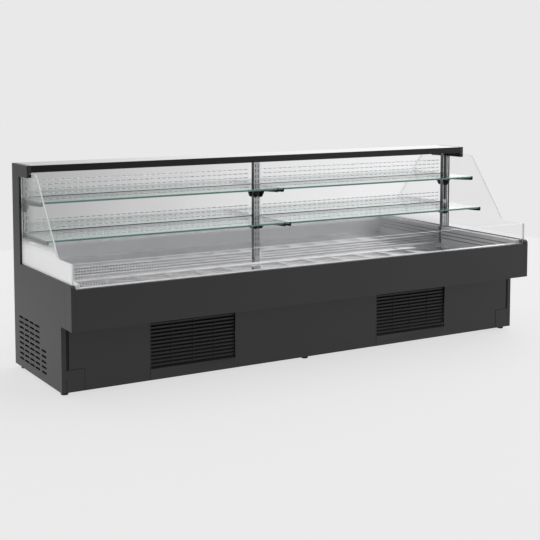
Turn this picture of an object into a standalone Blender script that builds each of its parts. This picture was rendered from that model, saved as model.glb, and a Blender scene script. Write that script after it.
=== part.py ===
# Refrigerated deli case: a plug-in cabinet with a low front glass and two levels of glass shelves.
# Case coordinates: x runs from the left end, y from the front face back, z from the floor, all in metres.
# World frame: origin at the middle of the footprint on the floor, +X along the case, +Z up, front facing -Y.
import math

import bmesh
import bpy
from mathutils import Matrix, Vector

# ---- driving dimensions ----
LENGTH = 3.000
DEPTH = 0.868
HEIGHT = 1.135
GAP = 0.0003
SHEET = 0.002
SKIN = 0.025

FOOT_HEIGHT = 0.020
FOOT_RADIUS = 0.019
NUT_RADIUS = 0.012
STEM_RADIUS = 0.005
STEM_LENGTH = 0.032
FOOT_X = (0.034, 1.480, LENGTH - 0.034)
FOOT_Y = {"front": 0.200, "rear": 0.810}
RAIL = 0.040
RAIL_WALL = 0.0025

KICK_Y = 0.146
FASCIA_DEPTH = 0.085
FASCIA_BOTTOM = 0.361
FASCIA_TOP = 0.569
SIDE_TOP = 0.591
COLUMN_Y = 0.757
BACK_Y = 0.808
WALL_Y = 0.771
WALL_BOTTOM = 0.486

HEADER_Y = 0.622
HEADER_BOTTOM = 1.097
CHEEK_BOTTOM = 1.069
LAMP_Y = (0.640, 0.682)

GLASS = 0.008
END_GLASS_X = 0.012
FRONT_GLASS_Y = 0.018
FRONT_GLASS_TOP = 0.694
KNEE_Y = 0.212
SLOPE_TOP_Y = 0.520
END_GLASS_TOP = 1.092

SHELF_GLASS = 0.010
SHELVES = {"upper": (0.480, 0.942), "lower": (0.400, 0.749)}
SHELF_ENDS = (0.024, 2.960)
SHELF_SPLIT = 0.003
MID_ARM = 0.018
MID_X = 1.490
UPRIGHT_WIDTH = 0.040
END_UPRIGHT_WIDTH = 0.030

TANK_WALL = 0.040
TANK_BOTTOM = 0.262
TANK_FLOOR = 0.302
LEDGE_INSET = 0.003
DRAIN = (2.60, 0.70)
DECK_TOP = 0.480
PAN_COUNT = 5
PAN_SKIRT = 0.025
PAN_SPLIT = 0.001
PAN_FRONT = 0.0755
PAN_BACK = 0.700
PAN_SHEET = 0.0015

GRILLES = {"left": (0.486, 1.002), "right": (1.945, 2.467)}
GRILLE_Z = (0.084, 0.345)
LOUVRES = 10
KICK_RETURN_Z = 0.135

EVAPORATOR_FAN_X = (0.75, 1.50, 2.25)
EVAPORATOR_FAN_RADIUS = 0.058
FAN_PLATE_Y = 0.400
FAN_Z = 0.378
CONDENSER_X = 0.740
CONDENSER_Y = 0.225
CONDENSER_FAN_RADIUS = 0.100
CONDENSER_FAN_Z = 0.165
MACHINE_TRAY_Z = FOOT_HEIGHT + RAIL + GAP

COLOURS = {
    "black paint": ((0.040, 0.040, 0.042), 0.45, 0.0),
    "gloss black": ((0.020, 0.020, 0.020), 0.20, 0.0),
    "stainless": ((0.62, 0.62, 0.63), 0.25, 1.0),
    "glass": ((0.80, 0.92, 0.90), 0.02, 0.0),
    "rubber": ((0.020, 0.020, 0.020), 0.80, 0.0),
    "galvanised": ((0.45, 0.46, 0.47), 0.45, 1.0),
    "aluminium": ((0.75, 0.76, 0.77), 0.35, 1.0),
    "black plastic": ((0.025, 0.025, 0.025), 0.50, 0.0),
    "lamp": ((0.90, 0.92, 0.95), 0.30, 0.0),
}


def start():
    for old in list(bpy.data.objects):
        bpy.data.objects.remove(old, do_unlink=True)
    groups = []
    for name in ("deli_case", "cutters"):
        group = bpy.data.collections.new(name)
        bpy.context.scene.collection.children.link(group)
        groups.append(group)
    return groups


CASE, CUTTERS = start()


def world(x, y, z):
    return Vector((x - LENGTH / 2, y - DEPTH / 2, z))


def coat(obj, colour):
    base, rough, metal = COLOURS[colour]
    mat = bpy.data.materials.new(obj.name + "_finish")
    mat.use_nodes = True
    shader = mat.node_tree.nodes["Principled BSDF"]
    shader.inputs["Base Color"].default_value = (*base, 1.0)
    shader.inputs["Roughness"].default_value = rough
    shader.inputs["Metallic"].default_value = metal
    obj.data.materials.append(mat)
    return obj


def node(name, mesh, colour):
    return coat(link(name, mesh, CASE), colour)


def link(name, mesh, group):
    obj = bpy.data.objects.new(name, mesh)
    group.objects.link(obj)
    return obj


def mesh_of(bm, name):
    bmesh.ops.recalc_face_normals(bm, faces=bm.faces)
    mesh = bpy.data.meshes.new(name)
    bm.to_mesh(mesh)
    bm.free()
    return mesh


def add_box(bm, low, high):
    a, b = world(*low), world(*high)
    size = b - a
    place = Matrix.Translation((a + b) / 2) @ Matrix.Diagonal((*size, 1.0))
    bmesh.ops.create_cube(bm, size=1.0, matrix=place)


def box_mesh(name, *boxes):
    bm = bmesh.new()
    for low, high in boxes:
        add_box(bm, low, high)
    return mesh_of(bm, name)


def box(name, low, high, colour):
    return node(name, box_mesh(name, (low, high)), colour)


def profile_mesh(name, outline, x0, x1):
    """A flat outline in y and z, filled as a 2D curve and given its width along x."""
    curve = bpy.data.curves.new(name, "CURVE")
    curve.dimensions = "2D"
    curve.fill_mode = "BOTH"
    curve.extrude = (x1 - x0) / 2
    spline = curve.splines.new("POLY")
    spline.points.add(len(outline) - 1)
    for point, (y, z) in zip(spline.points, outline):
        point.co = (y - DEPTH / 2, z, 0.0, 1.0)
    spline.use_cyclic_u = True
    guide = link(name + "_curve", curve, CUTTERS)
    turn = Matrix(((0, 0, 1), (1, 0, 0), (0, 1, 0))).to_4x4()
    guide.matrix_world = Matrix.Translation(((x0 + x1 - LENGTH) / 2, 0, 0)) @ turn
    bpy.context.view_layer.update()
    mesh = bpy.data.meshes.new_from_object(guide.evaluated_get(bpy.context.evaluated_depsgraph_get()))
    mesh.transform(guide.matrix_world)
    bpy.data.objects.remove(guide, do_unlink=True)
    bm = bmesh.new()
    bm.from_mesh(mesh)
    bmesh.ops.remove_doubles(bm, verts=bm.verts, dist=0.00001)
    bmesh.ops.dissolve_limit(bm, angle_limit=math.radians(1), verts=bm.verts, edges=bm.edges)
    return mesh_of(bm, name)


def profile(name, outline, x0, x1, colour):
    return node(name, profile_mesh(name, outline, x0, x1), colour)


def arc(cy, cz, radius, start_deg, end_deg, steps=6):
    """Points on a round corner in the y-z plane."""
    angles = [math.radians(start_deg + (end_deg - start_deg) * i / steps) for i in range(steps + 1)]
    return [(cy + radius * math.cos(a), cz + radius * math.sin(a)) for a in angles]


def cut(obj, mesh, name):
    tool = link(name, mesh, CUTTERS)
    tool.hide_render = True
    tool.display_type = "WIRE"
    boolean(obj, tool, "DIFFERENCE")


def join(obj, mesh, name):
    tool = link(name, mesh, CUTTERS)
    tool.hide_render = True
    tool.display_type = "WIRE"
    boolean(obj, tool, "UNION")


def boolean(obj, tool, operation):
    mod = obj.modifiers.new(tool.name, "BOOLEAN")
    mod.operation = operation
    mod.solver = "EXACT"
    mod.object = tool


def cylinder_mesh(name, centre, radius, length, axis, sides=24):
    """A cylinder with its middle at centre, along x, y or z."""
    bm = bmesh.new()
    turns = {"x": ("Y", math.pi / 2), "y": ("X", math.pi / 2), "z": ("Z", 0.0)}
    about, angle = turns[axis]
    place = Matrix.Translation(world(*centre)) @ Matrix.Rotation(angle, 4, about)
    size = {"radius1": radius, "radius2": radius, "depth": length, "segments": sides}
    bmesh.ops.create_cone(bm, cap_ends=True, matrix=place, **size)
    return mesh_of(bm, name)


def turned(name, profile_points, place, colour, steps=24):
    """A profile of radius and height, top to bottom, turned round z with a Screw modifier."""
    bm = bmesh.new()
    verts = [bm.verts.new((r, 0, z)) for r, z in profile_points]
    for a, b in zip(verts, verts[1:]):
        bm.edges.new((a, b))
    mesh = bpy.data.meshes.new(name)
    bm.to_mesh(mesh)
    bm.free()
    obj = node(name, mesh, colour)
    obj.location = world(*place)
    mod = obj.modifiers.new("turn", "SCREW")
    mod.steps = steps
    mod.render_steps = steps
    mod.use_merge_vertices = True
    mod.merge_threshold = 0.00005
    return obj


def folded_sheet(name, points, x0, x1, colour, thickness):
    """A bent sheet: its line in y and z is drawn out along x and given its thickness."""
    bm = bmesh.new()
    verts = [bm.verts.new(world(x0, y, z)) for y, z in points]
    edges = [bm.edges.new(pair) for pair in zip(verts, verts[1:])]
    drawn = bmesh.ops.extrude_edge_only(bm, edges=edges)["geom"]
    moved = [v for v in drawn if isinstance(v, bmesh.types.BMVert)]
    bmesh.ops.translate(bm, verts=moved, vec=(x1 - x0, 0, 0))
    obj = node(name, mesh_of(bm, name), colour)
    mod = obj.modifiers.new("sheet", "SOLIDIFY")
    mod.thickness = thickness
    mod.offset = 0.0
    mod.use_even_offset = True
    return obj


def tray(name, low, high, colour, up):
    """A tray pressed from sheet: a box with one side left open, given its thickness inwards."""
    bm = bmesh.new()
    add_box(bm, low, high)
    bm.normal_update()
    sign = 1 if up else -1
    bmesh.ops.delete(bm, geom=[f for f in bm.faces if f.normal.z * sign > 0.9], context="FACES")
    mesh = bpy.data.meshes.new(name)
    bm.to_mesh(mesh)
    bm.free()
    obj = node(name, mesh, colour)
    mod = obj.modifiers.new("sheet", "SOLIDIFY")
    mod.thickness = PAN_SHEET
    mod.offset = -1.0
    mod.use_even_offset = True
    return obj


# ---- base ----
def rail(side):
    y = FOOT_Y[side]
    low = (SKIN + GAP, y - RAIL / 2, FOOT_HEIGHT)
    high = (LENGTH - SKIN - GAP, y + RAIL / 2, FOOT_HEIGHT + RAIL)
    obj = box(f"base_{side}_rail", low, high, "galvanised")
    inner_low = (-0.1, low[1] + RAIL_WALL, low[2] + RAIL_WALL)
    inner_high = (LENGTH + 0.1, high[1] - RAIL_WALL, high[2] - RAIL_WALL)
    cut(obj, box_mesh("hollow", (inner_low, inner_high)), f"{side}_rail_hollow")
    for i, x in enumerate(FOOT_X):
        centre = (x, y, FOOT_HEIGHT)
        cut(obj, cylinder_mesh("hole", centre, STEM_RADIUS + GAP, RAIL / 4, "z", 16), f"{side}_stem_hole_{i}")


def crossbar(side, x0):
    y0 = FOOT_Y["front"] + RAIL / 2 + GAP
    y1 = FOOT_Y["rear"] - RAIL / 2 - GAP
    box(f"base_{side}_crossbar", (x0, y0, FOOT_HEIGHT), (x0 + RAIL, y1, FOOT_HEIGHT + RAIL), "galvanised")


def feet():
    for side, y in FOOT_Y.items():
        for place, x in zip(("left", "mid", "right"), FOOT_X):
            top = FOOT_HEIGHT - GAP
            points = [
                (0.0, FOOT_HEIGHT + STEM_LENGTH),
                (STEM_RADIUS, FOOT_HEIGHT + STEM_LENGTH),
                (STEM_RADIUS, top),
                (NUT_RADIUS, top),
                (NUT_RADIUS, 0.011),
                (FOOT_RADIUS, 0.009),
                (FOOT_RADIUS, 0.0),
                (0.0, 0.0),
            ]
            turned(f"foot_{side}_{place}", points, (x, y, 0), "rubber", 16)


def machine_tray():
    low = (0.30, FOOT_Y["front"] - RAIL / 2, MACHINE_TRAY_Z)
    high = (1.30, FOOT_Y["rear"] + RAIL / 2, MACHINE_TRAY_Z + SHEET)
    box("machine_tray", low, high, "galvanised")


# ---- outer panels ----
def side_panels():
    outline = [
        (KICK_Y, FOOT_HEIGHT),
        (DEPTH, FOOT_HEIGHT),
        (DEPTH, HEIGHT),
        (HEADER_Y, HEIGHT),
        (HEADER_Y, CHEEK_BOTTOM),
        (COLUMN_Y, CHEEK_BOTTOM),
        (COLUMN_Y, SIDE_TOP),
        (FASCIA_DEPTH + GAP, SIDE_TOP),
        (FASCIA_DEPTH + GAP, FASCIA_BOTTOM),
        (KICK_Y, FASCIA_BOTTOM),
    ]
    corner = SIDE_TOP - FASCIA_TOP
    cap = [(0.0, FASCIA_BOTTOM), (FASCIA_DEPTH, FASCIA_BOTTOM), (FASCIA_DEPTH, SIDE_TOP)]
    cap += arc(corner, FASCIA_TOP, corner, 90, 180)
    glass_edge = END_GLASS_X - GAP
    for side, x0 in (("left", 0.0), ("right", LENGTH - SKIN)):
        panel = profile(f"{side}_side_panel", outline, x0, x0 + SKIN, "black paint")
        front = profile(f"{side}_fascia_cap", cap, x0, x0 + SKIN, "black paint")
        # The end glass stands in a groove along the top and in another under the cheek.
        g0 = glass_edge if side == "left" else LENGTH - END_GLASS_X - GLASS - GAP
        g1 = g0 + GLASS + 2 * GAP
        low = ((g0, 0.0, SIDE_TOP - LEDGE_INSET), (g1, COLUMN_Y, SIDE_TOP + 0.1))
        high = ((g0, HEADER_Y - 0.01, CHEEK_BOTTOM - 0.1), (g1, COLUMN_Y, END_GLASS_TOP + GAP))
        cut(panel, box_mesh("groove", low, high), f"{side}_panel_grooves")
        n0, n1 = (glass_edge, SKIN + 0.01) if side == "left" else (LENGTH - SKIN - 0.01, LENGTH - glass_edge)
        notch = ((n0, FRONT_GLASS_Y - 0.002, FASCIA_TOP), (n1, FASCIA_DEPTH + 0.01, SIDE_TOP + 0.01))
        cut(front, box_mesh("notch", notch), f"{side}_cap_notch")


def front_panel():
    back = KICK_Y - GAP
    top_return = 0.030
    outline = [
        (0.0, FASCIA_BOTTOM),
        (back, FASCIA_BOTTOM),
        (back, FASCIA_BOTTOM + SHEET),
        (SHEET, FASCIA_BOTTOM + SHEET),
        (SHEET, FASCIA_TOP - SHEET),
        (top_return, FASCIA_TOP - SHEET),
        (top_return, FASCIA_TOP),
        (0.0, FASCIA_TOP),
    ]
    profile("front_panel", outline, SKIN + GAP, LENGTH - SKIN - GAP, "black paint")


def kick_panels():
    top = FASCIA_BOTTOM - GAP
    y0 = KICK_Y + GAP
    y1 = y0 + SHEET
    inner = 0.040
    edge = SKIN + GAP
    left, right = GRILLES["left"], GRILLES["right"]
    spans = {
        "left": (inner, left[0] - GAP),
        "mid": (left[1] + GAP, right[0] - GAP),
        "right": (right[1] + GAP, LENGTH - inner),
    }
    for name, (x0, x1) in spans.items():
        low = (x0, y0, FOOT_HEIGHT + GAP)
        obj = box(f"kick_panel_{name}", low, (x1, y1, top), "black paint")
        if name != "mid":
            # The outer end widens to the side skin only below the return.
            low_x, high_x = (edge, x0 + 0.01) if name == "left" else (x1 - 0.01, LENGTH - edge)
            foot = box_mesh("return", ((low_x, low[1], low[2]), (high_x, y1, KICK_RETURN_Z)))
            join(obj, foot, f"kick_{name}_return")


def grilles():
    frame = 0.014
    border = 0.016
    for name, (x0, x1) in GRILLES.items():
        y0 = KICK_Y + GAP
        low = (x0, y0, FOOT_HEIGHT + GAP)
        high = (x1, y0 + frame, FASCIA_BOTTOM - GAP)
        obj = box(f"grille_{name}", low, high, "black plastic")
        step = (GRILLE_Z[1] - GRILLE_Z[0] - 2 * border) / LOUVRES
        slots = []
        for i in range(LOUVRES):
            z0 = GRILLE_Z[0] + border + i * step
            slots.append(((x0 + border, y0 - 0.01, z0), (x1 - border, y0 + 0.03, z0 + step * 0.6)))
        cut(obj, box_mesh("slots", *slots), f"grille_{name}_slots")


# ---- cold tank and its inside ----
def tank():
    outer = [
        (SHEET + GAP, FASCIA_BOTTOM + SHEET + GAP),
        (KICK_Y + 0.020, FASCIA_BOTTOM + SHEET + GAP),
        (KICK_Y + 0.020, TANK_BOTTOM),
        (BACK_Y - GAP, TANK_BOTTOM),
        (BACK_Y - GAP, WALL_BOTTOM),
        (COLUMN_Y - GAP, WALL_BOTTOM),
        (COLUMN_Y - GAP, SIDE_TOP - LEDGE_INSET),
        (0.046, SIDE_TOP - LEDGE_INSET),
        (0.046, FASCIA_TOP - SHEET - GAP),
        (SHEET + GAP, FASCIA_TOP - SHEET - GAP),
    ]
    obj = profile("tank", outer, SKIN + GAP, LENGTH - SKIN - GAP, "stainless")
    ledge = DECK_TOP - PAN_SKIRT - GAP
    cavity = [
        (0.075, 0.65),
        (0.075, ledge),
        (0.100, ledge),
        (0.100, 0.403),
        (0.195, 0.403),
        (0.195, TANK_FLOOR),
        (COLUMN_Y, TANK_FLOOR),
        (COLUMN_Y, 0.65),
    ]
    x0, x1 = SKIN + TANK_WALL, LENGTH - SKIN - TANK_WALL
    cut(obj, profile_mesh("cavity", cavity, x0, x1), "tank_cavity")
    notch = ((x0, 0.03, FASCIA_TOP - SHEET - GAP), (x1, 0.09, 0.65))
    cut(obj, box_mesh("notch", notch), "tank_front_notch")
    drain = cylinder_mesh("drain", (*DRAIN, TANK_BOTTOM), 0.016, 0.12, "z", 16)
    cut(obj, drain, "tank_drain_hole")


def deck():
    x0, x1 = SKIN + TANK_WALL + GAP, LENGTH - SKIN - TANK_WALL - GAP
    width = (x1 - x0 - (PAN_COUNT - 1) * PAN_SPLIT) / PAN_COUNT
    for i in range(PAN_COUNT):
        left = x0 + i * (width + PAN_SPLIT)
        low = (left, PAN_FRONT, DECK_TOP - PAN_SKIRT)
        high = (left + width, PAN_BACK, DECK_TOP)
        tray(f"deck_pan_{i + 1}", low, high, "stainless", up=False)
    # The duct cover: a foot under the pans, a riser and a strip back to the wall.
    foot_z = DECK_TOP - PAN_SKIRT - PAN_SHEET
    points = [
        (PAN_BACK - 0.030, foot_z),
        (PAN_BACK + 0.002, foot_z),
        (PAN_BACK + 0.002, DECK_TOP + 0.004),
        (COLUMN_Y - 0.003, WALL_BOTTOM - 0.002),
    ]
    folded_sheet("rear_duct_cover", points, x0, x1, "stainless", PAN_SHEET)


def fan(name, centre, radius, depth, blades, hub, colour):
    """An axial fan turning round y: a hub and pitched blades, joined in one body."""
    obj = node(name, cylinder_mesh(name, centre, hub, depth, "y", 20), colour)
    pitch = math.radians(28)
    root = hub * 0.6
    length = radius - root
    size = Matrix.Diagonal((length, depth * 0.12, hub * 1.6, 1.0))
    reach = Matrix.Translation((root + length / 2, 0, 0))
    tilt = Matrix.Rotation(pitch, 4, "X")
    for i in range(blades):
        spin = Matrix.Rotation(2 * math.pi * i / blades, 4, "Y")
        bm = bmesh.new()
        place = Matrix.Translation(world(*centre)) @ spin @ reach @ tilt @ size
        bmesh.ops.create_cube(bm, size=1.0, matrix=place)
        join(obj, mesh_of(bm, name), f"{name}_blade_{i}")


def fin_block(name, fins, low, high, spine):
    """A fin block: a solid spine at the back with fins standing in front of it along x."""
    bm = bmesh.new()
    add_box(bm, (low[0], high[1] - spine, low[2]), high)
    mesh = mesh_of(bm, name)
    obj = node(name, mesh, "aluminium")
    pitch = (high[0] - low[0]) / fins
    plates = []
    for i in range(fins):
        x0 = low[0] + i * pitch
        plates.append(((x0, low[1], low[2]), (x0 + pitch * 0.4, high[1] - spine / 2, high[2])))
    join(obj, box_mesh("fins", *plates), name + "_fins")


def evaporator():
    fin_block("evaporator_coil", 24, (0.35, 0.50, TANK_FLOOR + 0.006), (2.65, 0.66, 0.440), 0.08)
    x0, x1 = SKIN + TANK_WALL + 0.02, LENGTH - SKIN - TANK_WALL - 0.02
    low = (x0, FAN_PLATE_Y, TANK_FLOOR + GAP)
    high = (x1, FAN_PLATE_Y + SHEET, DECK_TOP - PAN_SKIRT - GAP)
    plate = box("evaporator_fan_plate", low, high, "galvanised")
    for i, x in enumerate(EVAPORATOR_FAN_X):
        centre = (x, FAN_PLATE_Y, FAN_Z)
        hole = cylinder_mesh("hole", centre, EVAPORATOR_FAN_RADIUS + 0.006, 0.03, "y", 32)
        cut(plate, hole, f"fan_plate_hole_{i}")
        fan(f"evaporator_fan_{i + 1}", centre, EVAPORATOR_FAN_RADIUS, 0.024, 5, 0.018, "black plastic")


# ---- condensing unit ----
def condensing_unit():
    z0 = MACHINE_TRAY_Z + SHEET + GAP
    half = CONDENSER_FAN_RADIUS + 0.025
    low = (CONDENSER_X - half, CONDENSER_Y, z0)
    high = (CONDENSER_X + half, CONDENSER_Y + 0.050, 0.255)
    fin_block("condenser_coil", 16, low, high, 0.025)
    plate_y = high[1] + GAP
    shroud = box("condenser_shroud", (low[0], plate_y, z0), (high[0], plate_y + 0.040, 0.255), "galvanised")
    centre = (CONDENSER_X, plate_y + 0.022, CONDENSER_FAN_Z)
    hole = cylinder_mesh("hole", (centre[0], plate_y + 0.02, centre[2]), 0.087, 0.1, "y", 32)
    cut(shroud, hole, "shroud_hole")
    fan("condenser_fan", centre, 0.082, 0.026, 5, 0.024, "black plastic")
    points = [
        (0.0, 0.190),
        (0.030, 0.188),
        (0.058, 0.178),
        (0.076, 0.158),
        (0.082, 0.130),
        (0.082, 0.092),
        (0.086, 0.090),
        (0.086, 0.084),
        (0.082, 0.082),
        (0.082, 0.040),
        (0.070, 0.014),
        (0.050, 0.0),
        (0.0, 0.0),
    ]
    turned("compressor", points, (CONDENSER_X, 0.520, z0), "gloss black", 28)


def services():
    z0 = FOOT_HEIGHT + RAIL + GAP
    box("control_box", (1.50, 0.175, z0 + 0.010), (1.80, 0.235, z0 + 0.180), "galvanised")
    tray("drain_pan", (2.30, 0.30, z0), (2.80, 0.74, z0 + 0.060), "stainless", up=True)


# ---- back, uprights and header ----
def back():
    outline = [
        (DEPTH - 0.006, FOOT_HEIGHT + GAP),
        (DEPTH, FOOT_HEIGHT + GAP),
        (DEPTH, HEADER_BOTTOM - GAP),
        (BACK_Y, HEADER_BOTTOM - GAP),
        (BACK_Y, TANK_BOTTOM),
        (DEPTH - 0.006, TANK_BOTTOM),
    ]
    profile("back_panel", outline, SKIN + GAP, LENGTH - SKIN - GAP, "black paint")
    edge = SKIN + GAP + END_UPRIGHT_WIDTH + GAP
    mid0, mid1 = MID_X - UPRIGHT_WIDTH / 2 - GAP, MID_X + UPRIGHT_WIDTH / 2 + GAP
    for name, x0, x1 in (("left", edge, mid0), ("right", mid1, LENGTH - edge)):
        low = (x0, WALL_Y, WALL_BOTTOM + GAP)
        high = (x1, WALL_Y + SHEET, HEADER_BOTTOM - GAP)
        box(f"rear_wall_{name}", low, high, "stainless")


def uprights():
    spans = {
        "left": (SKIN + GAP, SKIN + GAP + END_UPRIGHT_WIDTH),
        "mid": (MID_X - UPRIGHT_WIDTH / 2, MID_X + UPRIGHT_WIDTH / 2),
        "right": (LENGTH - SKIN - GAP - END_UPRIGHT_WIDTH, LENGTH - SKIN - GAP),
    }
    for name, (x0, x1) in spans.items():
        low = (x0, COLUMN_Y, WALL_BOTTOM + GAP)
        high = (x1, BACK_Y - GAP, HEADER_BOTTOM - GAP)
        box(f"{name}_upright", low, high, "stainless")


def header():
    y0, y1 = HEADER_Y, DEPTH
    z0, z1 = HEADER_BOTTOM, HEIGHT
    lamp0, lamp1 = LAMP_Y
    outline = [
        (lamp0, z0),
        (lamp0, z0 + SHEET),
        (y0 + SHEET, z0 + SHEET),
        (y0 + SHEET, z1 - SHEET),
        (y1 - SHEET, z1 - SHEET),
        (y1 - SHEET, z0 + SHEET),
        (lamp1, z0 + SHEET),
        (lamp1, z0),
        (y1, z0),
        (y1, z1),
        (y0, z1),
        (y0, z0),
    ]
    profile("header_housing", outline, SKIN + GAP, LENGTH - SKIN - GAP, "gloss black")
    end, side_gap = 0.10, 0.0005
    low = (end, lamp0 + side_gap, z0 + 0.001)
    high = (LENGTH - end, lamp1 - side_gap, z0 + 0.014)
    box("header_lamp", low, high, "lamp")


# ---- glass and shelves ----
def end_glasses():
    y0 = FRONT_GLASS_Y
    knee_z = FRONT_GLASS_TOP
    ledge_z = SIDE_TOP - LEDGE_INSET + GAP
    back = COLUMN_Y - GAP
    tank_y = 0.0455
    slope = Vector((SLOPE_TOP_Y - KNEE_Y, END_GLASS_TOP - knee_z)).normalized()
    outline = [(y0, FASCIA_TOP + GAP), (tank_y, FASCIA_TOP + GAP), (tank_y, ledge_z)]
    outline += [(back, ledge_z), (back, END_GLASS_TOP)]
    # Rounded top corner, then the slope down to the knee, whose inner corner is a small fillet.
    top_angle = math.degrees(math.atan2(slope.x, -slope.y)) % 360
    radius = 0.045
    corner_y = SLOPE_TOP_Y + radius * math.tan(math.radians((top_angle - 90) / 2))
    outline += arc(corner_y, END_GLASS_TOP - radius, radius, 90, top_angle, 6)
    outline += [(KNEE_Y + slope.x * 0.03, knee_z + slope.y * 0.03)]
    outline += [(KNEE_Y + 0.006, knee_z + 0.007), (KNEE_Y - 0.020, knee_z)]
    nose = 0.006
    outline += arc(y0 + nose, knee_z - nose, nose, 90, 180, 3)
    for side, x0 in (("left", END_GLASS_X), ("right", LENGTH - END_GLASS_X - GLASS)):
        profile(f"{side}_end_glass", outline, x0, x0 + GLASS, "glass")


def front_glass():
    edge = END_GLASS_X + GLASS + GAP
    low = (edge, FRONT_GLASS_Y, FASCIA_TOP + GAP)
    high = (LENGTH - edge, FRONT_GLASS_Y + GLASS, FRONT_GLASS_TOP)
    box("front_glass", low, high, "glass")


def shelves():
    back_y = COLUMN_Y - 0.001
    half_split = SHELF_SPLIT / 2
    end0, end1 = SHELF_ENDS
    panes = {"left": (end0, MID_X - half_split), "right": (MID_X + half_split, end1)}
    end_arm, mid_arm = 0.004, 0.003
    for level, (front, z) in SHELVES.items():
        for side, (x0, x1) in panes.items():
            box(f"{level}_shelf_{side}", (x0, front, z), (x1, back_y, z + SHELF_GLASS), "glass")
        arm = [
            (COLUMN_Y - GAP, z - GAP),
            (front - GAP, z - GAP),
            (front - GAP, z + SHELF_GLASS + 0.001),
            (front - 0.006, z + SHELF_GLASS + 0.001),
            (front - 0.006, z - 0.010),
            (front + 0.002, z - 0.014),
            (COLUMN_Y - 0.060, z - 0.026),
            (COLUMN_Y - 0.030, z - 0.066),
            (COLUMN_Y - GAP, z - 0.070),
        ]
        for side, x in (("left", end0 + 0.005), ("right", end1 - 0.005)):
            profile(f"{level}_bracket_{side}", arm, x - end_arm, x + end_arm, "black plastic")
        # The middle bracket has an arm for each pane, joined by a saddle on the upright.
        x = MID_X - MID_ARM
        middle = profile(f"{level}_bracket_mid", arm, x - mid_arm, x + mid_arm, "black plastic")
        x = MID_X + MID_ARM
        join(middle, profile_mesh("arm", arm, x - mid_arm, x + mid_arm), f"{level}_second_arm")
        low = (MID_X - MID_ARM - 0.010, COLUMN_Y - 0.014, z - 0.062)
        high = (MID_X + MID_ARM + 0.010, COLUMN_Y - GAP, z - 0.034)
        join(middle, box_mesh("saddle", (low, high)), f"{level}_saddle")


def main():
    for side in FOOT_Y:
        rail(side)
    crossbar("left", SKIN + GAP)
    crossbar("right", LENGTH - SKIN - GAP - RAIL)
    feet()
    machine_tray()
    side_panels()
    front_panel()
    kick_panels()
    grilles()
    tank()
    deck()
    evaporator()
    condensing_unit()
    services()
    back()
    uprights()
    header()
    end_glasses()
    front_glass()
    shelves()


main()
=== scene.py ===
import math

import bmesh
import bpy
from mathutils import Matrix, Vector


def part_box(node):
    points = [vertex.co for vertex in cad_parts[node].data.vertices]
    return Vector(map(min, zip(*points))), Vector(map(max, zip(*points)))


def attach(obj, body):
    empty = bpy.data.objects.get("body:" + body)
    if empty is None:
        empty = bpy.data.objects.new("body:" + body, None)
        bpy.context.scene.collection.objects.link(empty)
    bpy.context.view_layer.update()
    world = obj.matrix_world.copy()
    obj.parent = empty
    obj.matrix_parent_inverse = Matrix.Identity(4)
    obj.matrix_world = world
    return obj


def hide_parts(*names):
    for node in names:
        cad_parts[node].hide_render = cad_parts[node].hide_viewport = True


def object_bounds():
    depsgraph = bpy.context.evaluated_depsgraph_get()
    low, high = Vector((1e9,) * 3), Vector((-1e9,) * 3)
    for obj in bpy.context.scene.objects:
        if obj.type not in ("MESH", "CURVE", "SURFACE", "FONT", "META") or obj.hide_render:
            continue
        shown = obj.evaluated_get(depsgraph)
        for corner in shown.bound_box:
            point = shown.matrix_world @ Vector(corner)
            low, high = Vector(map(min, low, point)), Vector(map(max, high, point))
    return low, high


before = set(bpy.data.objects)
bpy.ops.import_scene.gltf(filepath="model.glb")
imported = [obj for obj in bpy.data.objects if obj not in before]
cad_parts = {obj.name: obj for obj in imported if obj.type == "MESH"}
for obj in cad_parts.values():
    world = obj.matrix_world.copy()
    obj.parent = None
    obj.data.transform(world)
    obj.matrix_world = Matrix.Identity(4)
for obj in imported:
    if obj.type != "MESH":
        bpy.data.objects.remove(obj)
cadBox = [list(corner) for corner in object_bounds()]
corner = Vector(cadBox[0])  # the case's left end, front face and floor
print("frame loaded:", len(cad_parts), "nodes")


def at(x, y, z):  # metres from the left end, from the front face and from the floor
    return corner + Vector((x, y, z))


# Camera, floor and light
cameraValues = {
    "place": (-3.4674, -5.5958, 1.6241),
    "pitch": math.radians(-4.893),
    "yaw": math.radians(-30.96),
    "lens": 75.47,
    "shift": -0.185,
}
lightValues = {
    "floor": "#6a6a6a",
    "floorGlow": 0.66,  # the paper is lit from below too, so that it stays even
    "floorSize": 9.0,
    "sky": "#e9e9e9",
    "side": (0.05, 0.64, 0.0, 1.0),  # from, to, weakest and strongest, along each direction
    "back": (-0.5, 0.4, 0.0, 0.5),
    "top": (0.1, 0.8, 0.05, 0.5),
    "overhead": 5.0,
}


def makeCamera(values):
    camera = bpy.data.objects.new("camera", bpy.data.cameras.new("camera"))
    bpy.context.scene.collection.objects.link(camera)
    camera.location = values["place"]
    camera.rotation_euler = (math.pi / 2 + values["pitch"], 0, values["yaw"])
    camera.data.lens = values["lens"]
    camera.data.shift_y = values["shift"]
    camera.data.clip_end = 200
    bpy.context.scene.camera = camera


def hexColour(code):  # an sRGB hex value as the linear colour that a socket wants
    parts = [int(code[i:i + 2], 16) / 255 for i in (1, 3, 5)]
    linear = [p / 12.92 if p <= 0.04045 else ((p + 0.055) / 1.055) ** 2.4 for p in parts]
    return (*linear, 1.0)


def addNode(tree, kind, inputs, **settings):  # a value is set, a socket is linked
    made = tree.nodes.new("ShaderNode" + kind)
    for name, value in settings.items():
        setattr(made, name, value)
    for name, value in inputs.items():
        if isinstance(value, bpy.types.NodeSocket):
            tree.links.new(value, made.inputs[name])
        else:
            made.inputs[name].default_value = value
    return made


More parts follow.
